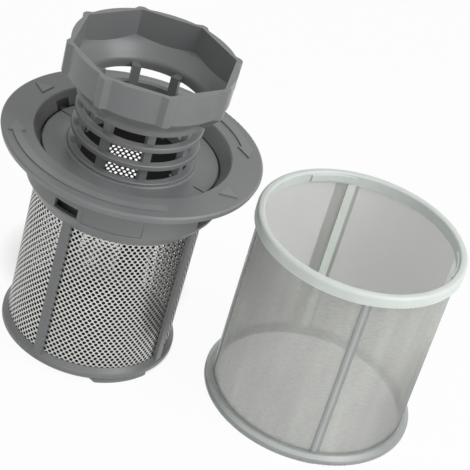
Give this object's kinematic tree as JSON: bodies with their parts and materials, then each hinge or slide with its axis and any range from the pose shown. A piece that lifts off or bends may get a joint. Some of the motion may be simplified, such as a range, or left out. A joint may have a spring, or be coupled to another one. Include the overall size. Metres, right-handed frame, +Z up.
{
  "type": "dishwasher filter",
  "caption": "Cylindrical dishwasher filter with a flanged perforated strainer, a lift-out coarse insert with an octagonal grip, and a separate fine mesh sleeve.",
  "frame": {"origin": "on the floor plane, midway between the outer edges of the two units", "axes": "+X from the main filter towards the micro filter, +Y away from the picture's viewer, +Z up"},
  "size_m": [0.2309, 0.125, 0.1615],
  "materials": {
    "grey_plastic": "satin moulded",
    "perforated_steel": "bright",
    "pale_plastic": "satin moulded",
    "clear_grey_plastic": "translucent moulded",
    "fine_mesh": "woven"
  },
  "bodies": {
    "strainer": {"strainer_frame": "grey_plastic", "perforated_sheet": "perforated_steel", "micro_top_rim": "pale_plastic", "micro_lower_frame": "clear_grey_plastic", "micro_mesh_sleeve": "fine_mesh"},
    "coarse_insert": {"coarse_cage": "grey_plastic", "handle_cup": "grey_plastic"}
  },
  "joints": [
    {"name": "insert_lift", "type": "slide", "parent": "strainer", "child": "coarse_insert", "axis": [0, 0, 1], "range_m": [0, 0.05]}
  ]
}
